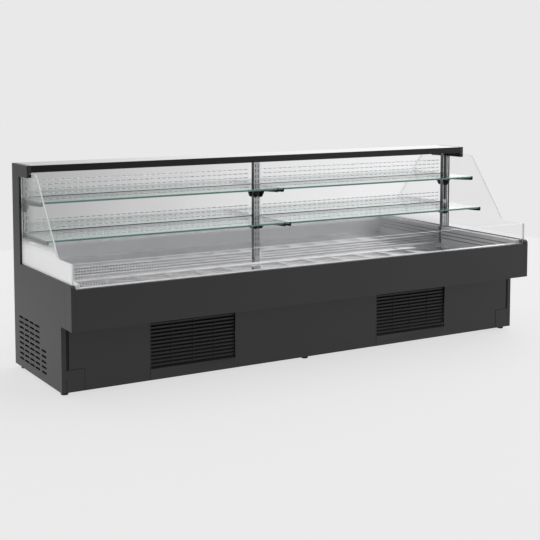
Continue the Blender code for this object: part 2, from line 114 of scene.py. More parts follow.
def makeWorld(values):
    world = bpy.data.worlds.new("studio")
    bpy.context.scene.world = world
    world.use_nodes = True
    tree = world.node_tree
    tree.nodes.clear()
    way = addNode(tree, "TexCoord", {}).outputs["Generated"]
    split = addNode(tree, "SeparateXYZ", {"Vector": way})
    # The room is dark in front on the left, and brighter to the right, behind and overhead.
    parts = []
    for axis, span in (("X", "side"), ("Y", "back"), ("Z", "top")):
        inputs = {0: split.outputs[axis], **dict(enumerate(values[span], 1))}
        parts.append(addNode(tree, "MapRange", inputs, interpolation_type="SMOOTHSTEP").outputs[0])
    total = addNode(tree, "Math", {0: parts[0], 1: parts[1]}, operation="ADD")
    total = addNode(tree, "Math", {0: total.outputs[0], 1: parts[2]}, operation="ADD")
    lit = addNode(tree, "Background", {"Color": (1, 1, 1, 1), "Strength": total.outputs[0]})
    seen = addNode(tree, "Background", {"Color": hexColour(values["sky"])})
    path = addNode(tree, "LightPath", {})
    shaders = {0: path.outputs["Is Camera Ray"], 1: lit.outputs[0], 2: seen.outputs[0]}
    mix = addNode(tree, "MixShader", shaders)
    addNode(tree, "OutputWorld", {"Surface": mix.outputs[0]})


def makeLight(name, place, target, size, power):
    data = bpy.data.lights.new(name, "AREA")
    data.shape = "RECTANGLE"
    data.size, data.size_y = size
    data.energy = power
    lamp = bpy.data.objects.new(name, data)
    bpy.context.scene.collection.objects.link(lamp)
    lamp.location = place
    lamp.rotation_euler = (Vector(target) - Vector(place)).to_track_quat("-Z", "Y").to_euler()


makeCamera(cameraValues)
makeWorld(lightValues)
makeLight("overhead_softbox", (0.4, -0.6, 3.6), (0, 0, 0.5), (4.4, 2.0), lightValues["overhead"])
bpy.context.scene.view_settings.view_transform = "Standard"
print("camera, world and lamps made")


# Materials
def newMaterial(name, colour, roughness, metallic=0.0, **sockets):
    material = bpy.data.materials.new(name)
    material.use_nodes = True
    shader = material.node_tree.nodes["Principled BSDF"]
    shader.inputs["Base Color"].default_value = hexColour(colour)
    shader.inputs["Roughness"].default_value = roughness
    shader.inputs["Metallic"].default_value = metallic
    for socket, value in sockets.items():
        shader.inputs[socket.replace("_", " ")].default_value = value
    return material, material.node_tree, shader


def surfaceDetail(tree, shader, values):
    # A noise drawn out along one direction gives the grain its bump and its play of gloss.
    place = addNode(tree, "TexCoord", {}).outputs["Object"]
    drawn = addNode(tree, "Mapping", {"Vector": place, "Scale": values["stretch"]})
    grain = {"Vector": drawn.outputs[0], "Scale": values["perMetre"], "Detail": 3.0}
    noise = addNode(tree, "TexNoise", grain)
    rough = addNode(
        tree, "MapRange", {0: noise.outputs[0], 1: 0.3, 2: 0.7, 3: values["rough"][0], 4: values["rough"][1]}
    )
    tree.links.new(rough.outputs[0], shader.inputs["Roughness"])
    if values["bump"]:
        relief = {"Height": noise.outputs[0], "Strength": values["bump"], "Distance": values["depth"]}
        tree.links.new(addNode(tree, "Bump", relief).outputs[0], shader.inputs["Normal"])
    if "tones" in values:
        broad = addNode(tree, "TexNoise", {"Vector": place, "Scale": values["patch"], "Detail": 2.0})
        dark, light = [hexColour(tone) for tone in values["tones"]]
        mix = addNode(tree, "Mix", {0: broad.outputs[0], 6: dark, 7: light}, data_type="RGBA")
        tree.links.new(mix.outputs[2], shader.inputs["Base Color"])


def powderCoat():  # black polyester powder on steel: an even satin skin with a fine orange peel
    material, tree, shader = newMaterial("black_powder_coated_steel", "#1b1b1c", 0.40)
    surfaceDetail(tree, shader, {
        "stretch": (1, 1, 1), "perMetre": 700.0, "rough": (0.36, 0.44),
        "bump": 0.12, "depth": 0.0003, "tones": ("#19191a", "#1e1e1f"), "patch": 3.0,
    })
    return material


def glossPaint():  # black gloss enamel on the canopy's front, smooth enough to mirror the room
    material, tree, shader = newMaterial("black_gloss_enamel", "#060606", 0.12, Specular_IOR_Level=0.3)
    surfaceDetail(tree, shader, {
        "stretch": (1, 1, 1), "perMetre": 90.0, "rough": (0.10, 0.15),
        "bump": 0.04, "depth": 0.0003, "tones": ("#050505", "#080808"), "patch": 4.0,
    })
    return material


def mirrorStainless():  # bright annealed stainless sheet: mirror-like with a faint rolling grain
    material, tree, shader = newMaterial("bright_annealed_stainless", "#ebebec", 0.08, 1.0)
    surfaceDetail(tree, shader, {
        "stretch": (0.05, 1, 1), "perMetre": 420.0, "rough": (0.06, 0.10),
        "bump": 0.0, "tones": ("#e6e6e7", "#efeff0"), "patch": 2.5,
    })
    return material


def satinStainless():  # brushed stainless sheet: long fine scratches blur what it mirrors
    material, tree, shader = newMaterial("brushed_stainless", "#f0f0f2", 0.30, 0.35)
    surfaceDetail(tree, shader, {
        "stretch": (1, 0.04, 1), "perMetre": 600.0, "rough": (0.26, 0.38),
        "bump": 0.10, "depth": 0.0003, "tones": ("#eaeaec", "#f4f4f6"), "patch": 3.0,
    })
    return material


def uprightSteel():  # rolled zinc-plated channel: grey, softly streaked along its length
    material, tree, shader = newMaterial("rolled_steel_channel", "#b4b5b7", 0.34, 1.0)
    surfaceDetail(tree, shader, {
        "stretch": (1, 1, 0.05), "perMetre": 500.0, "rough": (0.28, 0.40),
        "bump": 0.08, "depth": 0.0003, "tones": ("#acadaf", "#bcbdbf"), "patch": 6.0,
    })
    return material


def galvanised():  # hot-dip galvanised sheet: grey spangle of about 15 mm
    material, tree, shader = newMaterial("galvanised_sheet", "#8e9294", 0.42, 1.0)
    place = addNode(tree, "TexCoord", {}).outputs["Object"]
    cells = addNode(tree, "TexVoronoi", {"Vector": place, "Scale": 65.0})
    spangle = {0: cells.outputs["Distance"], 6: hexColour("#84888a"), 7: hexColour("#9da1a3")}
    mix = addNode(tree, "Mix", spangle, data_type="RGBA")
    tree.links.new(mix.outputs[2], shader.inputs["Base Color"])
    return material


def aluminiumFins():  # thin bare aluminium: bright, with a slight soft grain across the fins
    material, tree, shader = newMaterial("bare_aluminium", "#c3c5c8", 0.36, 1.0)
    surfaceDetail(tree, shader, {
        "stretch": (1, 1, 0.1), "perMetre": 400.0, "rough": (0.30, 0.44), "bump": 0.08, "depth": 0.0003,
    })
    return material


def blackAbs(name, colour, roughness):  # moulded black plastic with an even spark-eroded grain
    material, tree, shader = newMaterial(name, colour, roughness)
    surfaceDetail(tree, shader, {
        "stretch": (1, 1, 1), "perMetre": 1100.0, "rough": (roughness - 0.06, roughness + 0.06),
        "bump": 0.15, "depth": 0.0003,
    })
    return material


def rubber():  # moulded nitrile rubber: dull and nearly black
    material, tree, shader = newMaterial("moulded_rubber", "#121212", 0.75)
    surfaceDetail(tree, shader, {
        "stretch": (1, 1, 1), "perMetre": 900.0, "rough": (0.68, 0.82), "bump": 0.2, "depth": 0.0003,
    })
    return material


def compressorEnamel():  # sprayed black enamel over a drawn steel shell
    material, tree, shader = newMaterial("sprayed_enamel", "#101011", 0.3)
    surfaceDetail(tree, shader, {
        "stretch": (1, 1, 1), "perMetre": 160.0, "rough": (0.24, 0.36), "bump": 0.1, "depth": 0.0004,
    })
    return material


def lampDiffuser():  # opal acrylic over the lamp: milky, gently glowing
    material, tree, shader = newMaterial("opal_acrylic", "#f2f4f6", 0.35)
    shader.inputs["Emission Color"].default_value = hexColour("#f4f7fb")
    shader.inputs["Emission Strength"].default_value = 3.0
    surfaceDetail(tree, shader, {
        "stretch": (0.02, 1, 1), "perMetre": 500.0, "rough": (0.3, 0.4), "bump": 0.06, "depth": 0.0003,
    })
    return material


def clearPane(name, through, least, paintedVeil):  # float glass: clear face on, mirroring more as it is seen edge on
    material = bpy.data.materials.new(name)
    material.use_nodes = True
    tree = material.node_tree
    tree.nodes.clear()
    facing = addNode(tree, "LayerWeight", {"Blend": 0.5}).outputs["Facing"]
    power = addNode(tree, "Math", {0: facing, 1: 5.0}, operation="POWER")
    mirror = addNode(tree, "Math", {0: power.outputs[0], 1: 1 - least, 2: least}, operation="MULTIPLY_ADD")
    tones = {0: power.outputs[0], 6: hexColour("#fefefe"), 7: hexColour(through)}
    tint = addNode(tree, "Mix", tones, data_type="RGBA")
    clear = addNode(tree, "BsdfTransparent", {"Color": tint.outputs[2]})
    gloss = addNode(tree, "BsdfGlossy", {"Color": hexColour("#ffffff"), "Roughness": 0.02})
    mix = addNode(tree, "MixShader", {0: mirror.outputs[0], 1: clear.outputs[0], 2: gloss.outputs[0]})
    if paintedVeil:  # a painted reflection: a pale veil that glows a little, thick low down and gone above the knee
        low, high, most = paintedVeil
        place = addNode(tree, "TexCoord", {}).outputs["Object"]
        height = addNode(tree, "SeparateXYZ", {"Vector": place}).outputs["Z"]
        veil = addNode(
            tree, "MapRange", {0: height, 1: low, 2: high, 3: most, 4: 0.0}, interpolation_type="SMOOTHSTEP"
        )
        veilGlow = addNode(tree, "BsdfPrincipled", {
            "Base Color": hexColour("#f6f6f6"), "Roughness": 0.9,
            "Emission Color": hexColour("#ffffff"), "Emission Strength": 0.2,
        })
        mix = addNode(tree, "MixShader", {0: veil.outputs[0], 1: mix.outputs[0], 2: veilGlow.outputs[0]})
    addNode(tree, "OutputMaterial", {"Surface": mix.outputs[0]})
    return material


def groundEdge(name, colour, roughness):  # a ground and polished glass edge: light gathers in it, and its tone is painted to match that light, darker in the shaded copy
    material, tree, shader = newMaterial(name, colour, roughness)
    shader.inputs["IOR"].default_value = 1.5
    surfaceDetail(tree, shader, {
        "stretch": (1, 1, 1), "perMetre": 300.0, "rough": (roughness, roughness + 0.1),
        "bump": 0.05, "depth": 0.0002,
    })
    return material


blackCoat = powderCoat()
glossBlack = glossPaint()
mirrorSteel = mirrorStainless()
satinSteel = satinStainless()
channelSteel = uprightSteel()
zincSheet = galvanised()
finMetal = aluminiumFins()
grilleAbs = blackAbs("moulded_black_abs", "#111112", 0.5)
bracketAbs = blackAbs("black_nylon", "#0e0e0f", 0.4)
footRubber = rubber()
compressorCoat = compressorEnamel()
opal = lampDiffuser()
# The left end pane carries the painted reflection low down.
paintedVeilPane = clearPane("float_glass_painted_veil", "#f6faf9", 0.03, (0.69, 0.75, 0.56))
endPane = clearPane("clear_float_glass", "#f6faf9", 0.02, None)
shelfPane = clearPane("tinted_float_glass", "#dcf1eb", 0.10, None)
whiteEdge = groundEdge("polished_pale_edge", "#e6eae9", 0.15)
tealEdge = groundEdge("polished_teal_edge", "#5b8c82", 0.12)
paintedShadeEdge = groundEdge("shaded_teal_edge", "#2b4641", 0.12)
darkVoid = blackAbs("unlit_cavity_black", "#050505", 0.8)
slotShadeBlack = blackAbs("painted_slot_shade_black", "#0c0c0c", 0.6)
print("materials made:", len(bpy.data.materials))


# Shared shaping
def cadCopy(node):  # the node's mesh, welded, with its flat faces whole again
    bm = bmesh.new()
    bm.from_mesh(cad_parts[node].data)
    bmesh.ops.remove_doubles(bm, verts=bm.verts, dist=0.00002)
    bmesh.ops.dissolve_limit(bm, angle_limit=math.radians(1), verts=bm.verts, edges=bm.edges)
    return bm


def softenEdges(bm, width, segments=2, sharpest=math.radians(30)):
    edges = [e for e in bm.edges if len(e.link_faces) == 2 and e.calc_face_angle() > sharpest]
    bmesh.ops.bevel(
        bm, geom=edges, offset=width, offset_type="OFFSET", segments=segments, profile=0.5,
        affect="EDGES", clamp_overlap=True, material=-1
    )


def addBlock(bm, low, high):  # a box between two corners in case coordinates
    a, b = at(*low), at(*high)
    place = Matrix.Translation((a + b) / 2) @ Matrix.Diagonal((*(b - a), 1.0))
    return bmesh.ops.create_cube(bm, size=1.0, matrix=place)["verts"]


def evenNormals(obj):  # keeps the flats flat beside their small bevels
    normals = obj.modifiers.new("even normals", "WEIGHTED_NORMAL")
    normals.keep_sharp = True


def makePiece(name, bm, materials, body="case", replaced=()):
    mesh = bpy.data.meshes.new(name)
    bm.to_mesh(mesh)
    bm.free()
    obj = bpy.data.objects.new(name, mesh)
    bpy.context.scene.collection.objects.link(obj)
    for material in materials:
        mesh.materials.append(material)
    mesh.shade_smooth()
    mesh.set_sharp_from_angle(angle=math.radians(35))
    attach(obj, body)
    if replaced:
        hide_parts(*replaced)
    evenNormals(obj)
    return obj


def giveThickness(obj, thickness):
    wall = obj.modifiers.new("sheet thickness", "SOLIDIFY")
    wall.thickness = thickness
    wall.offset = -1.0
    obj.modifiers.move(len(obj.modifiers) - 1, 0)


def flatSheet(width, height):  # a sheet in the plane z = 0 from the origin, before it is stood up
    bm = bmesh.new()
    place = Matrix.Translation((width / 2, height / 2, 0)) @ Matrix.Diagonal((width, height, 1, 1))
    bmesh.ops.create_grid(bm, x_segments=1, y_segments=1, size=0.5, matrix=place)
    return bm


def cutLines(bm, places, axis):
    normal = Vector((1 - axis, axis, 0))
    for place in places:
        geom = bm.verts[:] + bm.edges[:] + bm.faces[:]
        bmesh.ops.bisect_plane(bm, geom=geom, dist=0.00001, plane_co=normal * place, plane_no=normal)


def punchSlots(bm, span, pitch, rows, slot, recess=0.0):
    # Slots with round ends, in rows along x: the sheet is cut in cells, and each cell loses its middle.
    count = int((span[1] - span[0]) / pitch)
    start = (span[0] + span[1] - count * pitch) / 2
    length, width = slot
    half = width * 0.8
    cutLines(bm, [start + i * pitch for i in range(count + 1)], 0)
    cutLines(bm, [row + side * half for row in rows for side in (-1, 1)], 1)
    cells = []
    for face in bm.faces:
        centre = face.calc_center_median()
        inRow = min(abs(centre.y - row) for row in rows) < half / 4
        if start < centre.x < start + count * pitch and inRow and abs(centre.z) < 0.0002:
            cells.append(face)
    bmesh.ops.inset_individual(bm, faces=cells, thickness=width * 0.1)
    radius = width / 2
    for face in cells:
        centre = face.calc_center_median()
        reach = max(abs(v.co.y - centre.y) for v in face.verts)
        for edge in [e for e in face.edges if abs(e.verts[0].co.x - e.verts[1].co.x) < 0.00001]:
            near = bmesh.utils.edge_split(edge, edge.verts[0], 1 / 3)[1]
            bmesh.utils.edge_split(edge, near, 0.5)
        for vert in face.verts:
            rise = (vert.co.y - centre.y) / reach
            side = 1 if vert.co.x > centre.x else -1
            out = length / 2 - radius + radius * math.sqrt(max(0.0, 1 - rise * rise))
            vert.co = (centre.x + side * out, centre.y + rise * radius, vert.co.z)
    # A recessed slot's floor takes the second material, which paints the shade in it.
    if recess:
        bmesh.ops.inset_individual(bm, faces=cells, thickness=0.0, depth=-recess)
        for face in cells:
            face.material_index = 1
    else:
        bmesh.ops.delete(bm, geom=cells, context="FACES")


def extrudeRim(bm, chooser, step):  # the chosen free edges are drawn out by step, as a folded return
    edges = [e for e in bm.edges if e.is_boundary and chooser((e.verts[0].co + e.verts[1].co) / 2)]
    drawn = bmesh.ops.extrude_edge_only(bm, edges=edges)["geom"]
    bmesh.ops.translate(bm, verts=[g for g in drawn if isinstance(g, bmesh.types.BMVert)], vec=step)


def standing(x, y, z):  # turns a flat sheet to face the front, with its lower left corner at a place
    return Matrix.Translation(at(x, y, z)) @ Matrix.Rotation(math.pi / 2, 4, "X")


def edgeFaces(bm, axis, index):  # faces that don't look along the axis take another material
    for face in bm.faces:
        if abs(face.normal[axis]) < 0.9:
            face.material_index = index


# Cabinet panels
panelValues = {"bend": 0.0012}


def plainPanel(node, material, width=None):
    bm = cadCopy(node)
    softenEdges(bm, width or panelValues["bend"])
    makePiece(node + "_shell", bm, [material], "case", [node])


for panelName in ("left_fascia_cap", "right_fascia_cap", "right_side_panel"):
    plainPanel(panelName, blackCoat)
for panelName in ("front_panel", "kick_panel_left", "kick_panel_mid", "kick_panel_right"):
    plainPanel(panelName, blackCoat, 0.0006)

sideVents = {  # spans and counts of slots, low on the left side
    "bands": (((0.455, 0.795), 9), ((0.355, 0.447), 5)),
    "firstRow": 0.071, "rowStep": 0.0285, "slot": (0.072, 0.011), "pitch": 0.084, "depth": 0.012,
    "inset": 0.0,
}
backVents = {  # behind the condensing unit
    "bands": (((0.42, 1.06), 7),),
    "firstRow": 0.075, "rowStep": 0.026, "slot": (0.060, 0.009), "pitch": 0.072, "depth": 0.004,
    "inset": 0.0012,
}


def ventedPanel(node, flatten, values):  # slots pressed in the outer face, their bottoms painted black as shade
    inset = values["inset"]
    bm = cadCopy(node)
    softenEdges(bm, panelValues["bend"])
    flatten = flatten.to_4x4() @ Matrix.Translation(-corner)
    bmesh.ops.transform(bm, matrix=flatten, verts=bm.verts)
    for vert in bm.verts:
        vert.co.z = max(vert.co.z, inset)
    bmesh.ops.translate(bm, verts=bm.verts, vec=(0, 0, -inset))
    for span, count in values["bands"]:
        rows = [values["firstRow"] + i * values["rowStep"] for i in range(count)]
        punchSlots(bm, span, values["pitch"], rows, values["slot"], values["depth"])
    bmesh.ops.translate(bm, verts=bm.verts, vec=(0, 0, inset))
    bmesh.ops.transform(bm, matrix=flatten.inverted(), verts=bm.verts)
    makePiece(node + "_shell", bm, [blackCoat, slotShadeBlack], "case", [node])


# The left side lies down with its length along x, and the back lies down on its face.
ventedPanel("left_side_panel", Matrix(((0, 1, 0), (0, 0, 1), (1, 0, 0))), sideVents)
caseSize = Vector(cadBox[1]) - corner
backTurn = Matrix.Translation((0, 0, caseSize.y)) @ Matrix(((1, 0, 0), (0, 0, 1), (0, -1, 0))).to_4x4()
ventedPanel("back_panel", backTurn, backVents)

backValues = {
    "seams": (0.78, 1.50, 2.22), "seam": 0.001, "seamEnds": (0.03, 1.09), "margin": 0.045, "beside": 0.02,
    "screw": 0.0045, "slope": 0.7, "head": 0.0014, "proud": 0.0003, "rows": (0.05, 0.56, 1.07),
}


def backFixings(values):  # the back is three seams and rows of pan-head screws
    y = caseSize.y - backVents["inset"]
    half = values["seam"]
    bottom, top = values["seamEnds"]
    bm = bmesh.new()
    for x in values["seams"]:
        addBlock(bm, (x - half, y - half, bottom), (x + half, y + half / 5, top))
    makePiece("back_panel_seams", bm, [darkVoid], "case")
    bm = bmesh.new()
    ends = [values["margin"], caseSize.x - values["margin"]]
    beside = [x + side * values["beside"] for x in values["seams"] for side in (-1, 1)]
    for z in values["rows"]:
        for x in ends + beside:
            place = Matrix.Translation(at(x, y + values["proud"], z)) @ Matrix.Rotation(-math.pi / 2, 4, "X")
            bmesh.ops.create_cone(
                bm, cap_ends=True, segments=14, radius1=values["screw"],
                radius2=values["screw"] * values["slope"], depth=values["head"], matrix=place
            )
    makePiece("back_panel_screws", bm, [satinSteel], "case")


backFixings(backValues)
print("cabinet panels made")


# Kick grilles
grilleValues = {
    "border": 0.005, "bottom": 0.078, "top": 0.356, "depth": 0.011, "louvres": 14,
    "blade": 0.0165, "tilt": math.radians(38), "mullions": 3, "screen": 0.0115,
    "bladeBack": 0.0085, "bladeSheet": 0.0014, "play": 0.0003, "bar": 0.003, "screenSheet": 0.001,
}


def louvredGrille(side, values):  # a frame, tilted blades, thin bars behind them and a dust screen
    node = f"grille_{side}"
    low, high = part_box(node)
    size = high - low
    low -= corner
    bm = flatSheet(size.x, size.z)
    x0, x1 = values["border"], size.x - values["border"]
    z0, z1 = values["bottom"] - low.z, values["top"] - low.z
    cutLines(bm, (x0, x1), 0)
    cutLines(bm, (z0, z1), 1)
    centres = [(face, face.calc_center_median()) for face in bm.faces]
    middle = [face for face, centre in centres if x0 < centre.x < x1 and z0 < centre.y < z1]
    bmesh.ops.delete(bm, geom=middle, context="FACES")
    bmesh.ops.transform(bm, matrix=standing(low.x, low.y, low.z), verts=bm.verts)
    surround = makePiece(f"{side}_grille_surround", bm, [blackCoat], "case", [node])
    giveThickness(surround, values["depth"])
    bm = bmesh.new()
    inner0, inner1 = low.x + x0 + values["play"], low.x + x1 - values["play"]
    step = (z1 - z0) / values["louvres"]
    for i in range(values["louvres"]):
        blade = bmesh.ops.create_cube(bm, size=1.0)["verts"]
        shape = Matrix.Diagonal((inner1 - inner0, values["blade"], values["bladeSheet"], 1))
        turn = Matrix.Rotation(values["tilt"], 4, "X")
        height = values["bottom"] + (i + 0.5) * step
        place = Matrix.Translation(at((inner0 + inner1) / 2, low.y + values["bladeBack"], height))
        bmesh.ops.transform(bm, matrix=place @ turn @ shape, verts=blade)
    back = low.y + values["screen"]
    for i in range(values["mullions"]):
        x = inner0 + (inner1 - inner0) * (i + 1) / (values["mullions"] + 1)
        bar = values["bar"]
        addBlock(bm, (x - bar, back - bar, values["bottom"]), (x + bar, back, values["top"]))
    softenEdges(bm, 0.0003, 1)
    addBlock(bm, (inner0, back, values["bottom"]), (inner1, back + values["screenSheet"], values["top"]))
    makePiece(f"{side}_grille_louvres", bm, [grilleAbs], "case")


for grilleSide in ("left", "right"):
    louvredGrille(grilleSide, grilleValues)

plinthValues = {
    "outer": 0.0260, "inner": 0.122, "bottom": 0.0210, "top": 0.135, "thickness": 0.0008, "gap": 0.0001,
    "seam": 0.0015, "seamTop": 0.002, "seamProud": 0.0009,
    "returnAcross": (0.0258, 0.0415), "returnDeep": (0.1492, 0.1502), "returnUp": (0.131, 0.3590),
}


def plinthCorner(side, values):  # the plinth's corner cover, whose seams show on the kick
    front = (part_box("kick_panel_left")[0] - corner).y
    length = caseSize.x
    x0, x1 = values["outer"], values["inner"]
    if side == "right":
        x0, x1 = length - values["inner"], length - values["outer"]
    bottom, top, gap = values["bottom"], values["top"], values["gap"]
    bm = bmesh.new()
    addBlock(bm, (x0, front - values["thickness"], bottom), (x1, front - gap, top))
    softenEdges(bm, 0.0003, 1)
    makePiece(f"{side}_plinth_corner", bm, [blackCoat], "case")
    # Shadow lines show where the corner meets the kick above and beside it.
    seam, half, proud = (x1 if side == "left" else x0), values["seam"], front - values["seamProud"]
    bm = bmesh.new()
    addBlock(bm, (seam - half, proud, bottom), (seam + half, front - gap, top))
    addBlock(bm, (x0, proud, top), (x1, front - gap, top + values["seamTop"]))
    makePiece(f"{side}_plinth_seams", bm, [darkVoid], "case")
    # A return closes the gap between the kick and the side, behind both, painted unlit black as the shade in
    # the gap.
    x0, x1 = values["returnAcross"]
    if side == "right":
        x0, x1 = length - x1, length - x0
    (y0, y1), (z0, z1) = values["returnDeep"], values["returnUp"]
    bm = bmesh.new()
    addBlock(bm, (x0, y0, z0), (x1, y1, z1))
    makePiece(f"{side}_kick_return_shade", bm, [darkVoid], "case")


for cornerSide in ("left", "right"):
    plinthCorner(cornerSide, plinthValues)
print("kick made")


# Stainless interior
wallValues = {
    "slot": (0.025, 0.0042), "pitch": 0.0365, "margin": 0.020, "sheet": 0.0012, "duct": 0.0035,
    "rows": (1.042, 1.017, 0.992, 0.969, 0.824, 0.801, 0.777, 0.753, 0.728),
    "foot": 0.056, "footEnds": 0.01, "footGap": 0.0006, "footRows": (0.013, 0.029, 0.045),
    "hole": (0.0115, 0.0075), "holePitch": 0.0175,
}


def slottedWall(side, values):  # the slotted sheet, the holes at its foot, and the duct behind, with painted shade behind the foot
    node = f"rear_wall_{side}"
    low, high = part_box(node)
    size = high - low
    low -= corner
    foot = values["foot"]
    bm = flatSheet(size.x, size.z - foot)
    rows = [row - low.z - foot for row in values["rows"]]
    punchSlots(bm, (values["margin"], size.x - values["margin"]), values["pitch"], rows, values["slot"])
    bmesh.ops.transform(bm, matrix=standing(low.x, low.y, low.z + foot), verts=bm.verts)
    wall = makePiece(f"{side}_wall_sheet", bm, [mirrorSteel], "case", [node])
    giveThickness(wall, values["sheet"])
    strip = flatSheet(size.x, foot - values["footGap"])
    footSpan = (values["footEnds"], size.x - values["footEnds"])
    punchSlots(strip, footSpan, values["holePitch"], values["footRows"], values["hole"])
    bmesh.ops.transform(strip, matrix=standing(low.x, low.y, low.z), verts=strip.verts)
    wallFoot = makePiece(f"{side}_wall_foot", strip, [mirrorSteel], "case")
    giveThickness(wallFoot, values["sheet"])
    # Behind the foot's holes the duct is an unlit black sheet: painted shade.
    linings = (("lining", foot, size.z - foot, satinSteel), ("foot_painted_shade", 0, foot, darkVoid))
    for part, start, height, lined in linings:
        duct = flatSheet(size.x, height)
        place = standing(low.x, low.y + values["duct"], low.z + start)
        bmesh.ops.transform(duct, matrix=place, verts=duct.verts)
        lining = makePiece(f"{side}_duct_{part}", duct, [lined], "case")
        giveThickness(lining, values["sheet"])


for wallSide in ("left", "right"):
    slottedWall(wallSide, wallValues)

coverValues = {
    "hole": (0.020, 0.005), "pitch": 0.030, "rows": (0.026,), "ends": 0.01, "sheet": 0.0012,
    "lip": 0.0013, "riser": 0.028,
}


def ductCover(values):  # a flat strip behind the pans, whose front edge is folded down
    low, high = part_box("rear_duct_cover")
    low -= corner
    high -= corner
    knee = (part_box("deck_pan_1")[1] - corner).y + values["lip"]
    length = high.x - low.x
    bm = flatSheet(length, high.y - knee)
    span = (values["ends"], length - values["ends"])
    punchSlots(bm, span, values["pitch"], values["rows"], values["hole"])
    bmesh.ops.transform(bm, matrix=Matrix.Translation(at(low.x, knee, high.z)), verts=bm.verts)
    edge = at(0, knee, high.z)
    extrudeRim(bm, lambda p: (p - edge).yz.length < 0.0005, (0, 0, -values["riser"]))
    cover = makePiece("duct_cover_sheet", bm, [mirrorSteel], "case", ["rear_duct_cover"])
    giveThickness(cover, values["sheet"])


ductCover(coverValues)

panValues = {
    "fields": 3, "crown": 0.008, "across": 30, "deep": 24,
    "slot": (0.024, 0.006), "pitch": 0.034, "slotRows": (0.018, 0.034), "ends": 0.01,
    "sheet": 0.0012, "skirt": 0.0235, "sink": 0.0002,
}


def deckPan(index, values):
    # Three crowned fields, each falling away to the fold between it and the next.
    node = f"deck_pan_{index}"
    low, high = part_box(node)
    size = high - low
    bm = flatSheet(size.x, size.y)
    cutLines(bm, [size.x * i / values["across"] for i in range(1, values["across"])], 0)
    cutLines(bm, [size.y * i / values["deep"] for i in range(1, values["deep"])], 1)
    span = (values["ends"], size.x - values["ends"])
    punchSlots(bm, span, values["pitch"], values["slotRows"], values["slot"])
    field = size.x / values["fields"]
    for vert in bm.verts:
        across = (vert.co.x % field) / field
        dome = (1 - abs(2 * across - 1) ** 2.5) * math.sin(math.pi * vert.co.y / size.y) ** 0.6
        vert.co.z -= values["crown"] * (1 - dome) + values["sink"]
    bmesh.ops.transform(bm, matrix=Matrix.Translation((low.x, low.y, high.z)), verts=bm.verts)
    inside = (low + Vector((0.001, 0.001, -1)), high - Vector((0.001, 0.001, -1)))
    extrudeRim(
        bm, lambda p: not (inside[0].x < p.x < inside[1].x and inside[0].y < p.y < inside[1].y),
        (0, 0, -values["skirt"] + values["crown"])
    )
    pan = makePiece(f"pan_{index}_sheet", bm, [mirrorSteel], node, [node])
    giveThickness(pan, values["sheet"])


for panIndex in range(1, 6):
    deckPan(panIndex, panValues)


def tankShell():
    bm = cadCopy("tank")
    softenEdges(bm, 0.0015)
    makePiece("tank_lining", bm, [satinSteel], "case", ["tank"])


tankShell()

ledgeValues = {
    "lines": (0.040, 0.047, 0.054), "width": 0.0025, "height": 0.0016, "sunk": 0.0005,
    "front": 0.05, "back": 0.055, "wall": 0.040, "wallLines": (0.512, 0.535, 0.558),
    "wallFront": 0.10, "wallProud": 0.0002, "wallLine": 0.004,
}


def ledgeBeads(side, values):  # pressed beads along the tank's end ledges, and lines of painted shade on its end walls, standing for shaded beads
    low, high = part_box("tank")
    low -= corner
    high -= corner
    y1 = high.y - values["back"]
    half = values["width"] / 2
    bm = bmesh.new()
    for line in values["lines"]:
        x = line if side == "left" else caseSize.x - line
        top = high.z + values["height"]
        addBlock(bm, (x - half, values["front"], high.z - values["sunk"]), (x + half, y1, top))
    softenEdges(bm, 0.0007)
    makePiece(f"{side}_ledge_beads", bm, [satinSteel], "case")
    inner = low.x + values["wall"] if side == "left" else high.x - values["wall"]
    proud = values["wallProud"]
    # Thin dark strips on the end wall, painted as the shade along its beads.
    bm = bmesh.new()
    for z in values["wallLines"]:
        addBlock(bm, (inner - proud, values["wallFront"], z), (inner + proud, y1, z + values["wallLine"]))
    makePiece(f"{side}_end_wall_shade_lines", bm, [slotShadeBlack], "case")


for ledgeSide in ("left", "right"):
    ledgeBeads(ledgeSide, ledgeValues)

uprightValues = {
    "slot": (0.022, 0.0045), "pitch": 0.032, "sheet": 0.0015, "column": 0.009, "ends": 0.012, "short": 0.002,
}


def slottedUpright(side, values):
    node = f"{side}_upright"
    low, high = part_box(node)
    size = high - low
    low -= corner
    bm = flatSheet(size.z, size.x)  # drawn lying down: its length along x
    centre, aside = size.x / 2, values["column"]
    columns = (centre - aside, centre + aside) if side == "mid" else (centre,)
    punchSlots(bm, (values["ends"], size.z - values["ends"]), values["pitch"], columns, values["slot"])
    # Its length turns to z, and its width to x.
    stand = Matrix(((0, 1, 0), (0, 0, 1), (1, 0, 0))).to_4x4()
    bmesh.ops.transform(bm, matrix=Matrix.Translation(at(*low)) @ stand, verts=bm.verts)
    bmesh.ops.recalc_face_normals(bm, faces=bm.faces)
    if bm.faces[0].normal.y > 0:
        bmesh.ops.reverse_faces(bm, faces=bm.faces)
    x0, x1 = at(*low).x, at(*low).x + size.x
    flange = (0, size.y - values["short"], 0)
    extrudeRim(bm, lambda p: p.x < x0 + 0.0005 or p.x > x1 - 0.0005, flange)
    post = makePiece(f"{side}_slotted_upright", bm, [channelSteel], "case", [node])
    giveThickness(post, values["sheet"])


for uprightSide in ("left", "mid", "right"):
    slottedUpright(uprightSide, uprightValues)


insertValues = {"left": 0.005, "right": 0.004, "proud": 0.0008, "bottom": 0.775, "gap": 0.002}


def channelInsert(values):  # a black strip in the right upright's channel, above the lower shelf
    low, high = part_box("right_upright")
    low -= corner
    high -= corner
    start = (low.x + values["left"], low.y - values["proud"], values["bottom"])
    end = (high.x - values["right"], low.y + values["proud"], high.z - values["gap"])
    bm = bmesh.new()
    addBlock(bm, start, end)
    softenEdges(bm, 0.0004, 1)
    makePiece("right_channel_insert", bm, [bracketAbs], "case")


